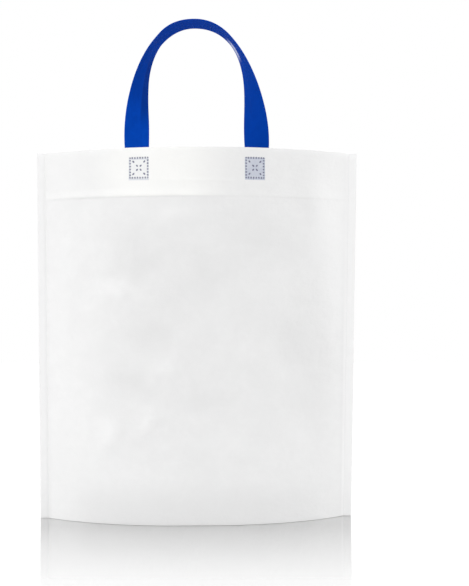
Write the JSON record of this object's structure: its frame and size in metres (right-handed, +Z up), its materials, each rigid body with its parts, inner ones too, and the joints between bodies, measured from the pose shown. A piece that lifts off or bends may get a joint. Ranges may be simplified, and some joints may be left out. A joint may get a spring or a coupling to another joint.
{
  "type": "non-woven loop handle bag",
  "caption": "White non-woven carrier bag with blue loop handles welded inside its hem, standing open on a folded base.",
  "frame": {"origin": "on the floor, under the middle of the open bag, halfway between the two side edges and between the front and the back panel", "axes": "+Z up from the base to the mouth, +X along the front panel to the right of someone who faces it, +Y from the front panel to the back panel"},
  "size_m": [0.3692, 0.1231, 0.5596],
  "materials": {
    "bag_cloth": "matte white spunbond cloth with a fine pattern of bond points",
    "handle_cloth": "matte blue spunbond cloth, folded and pressed"
  },
  "bodies": {
    "root": {"bag_body": "bag_cloth", "front_handle": "handle_cloth", "rear_handle": "handle_cloth"}
  },
  "joints": []
}
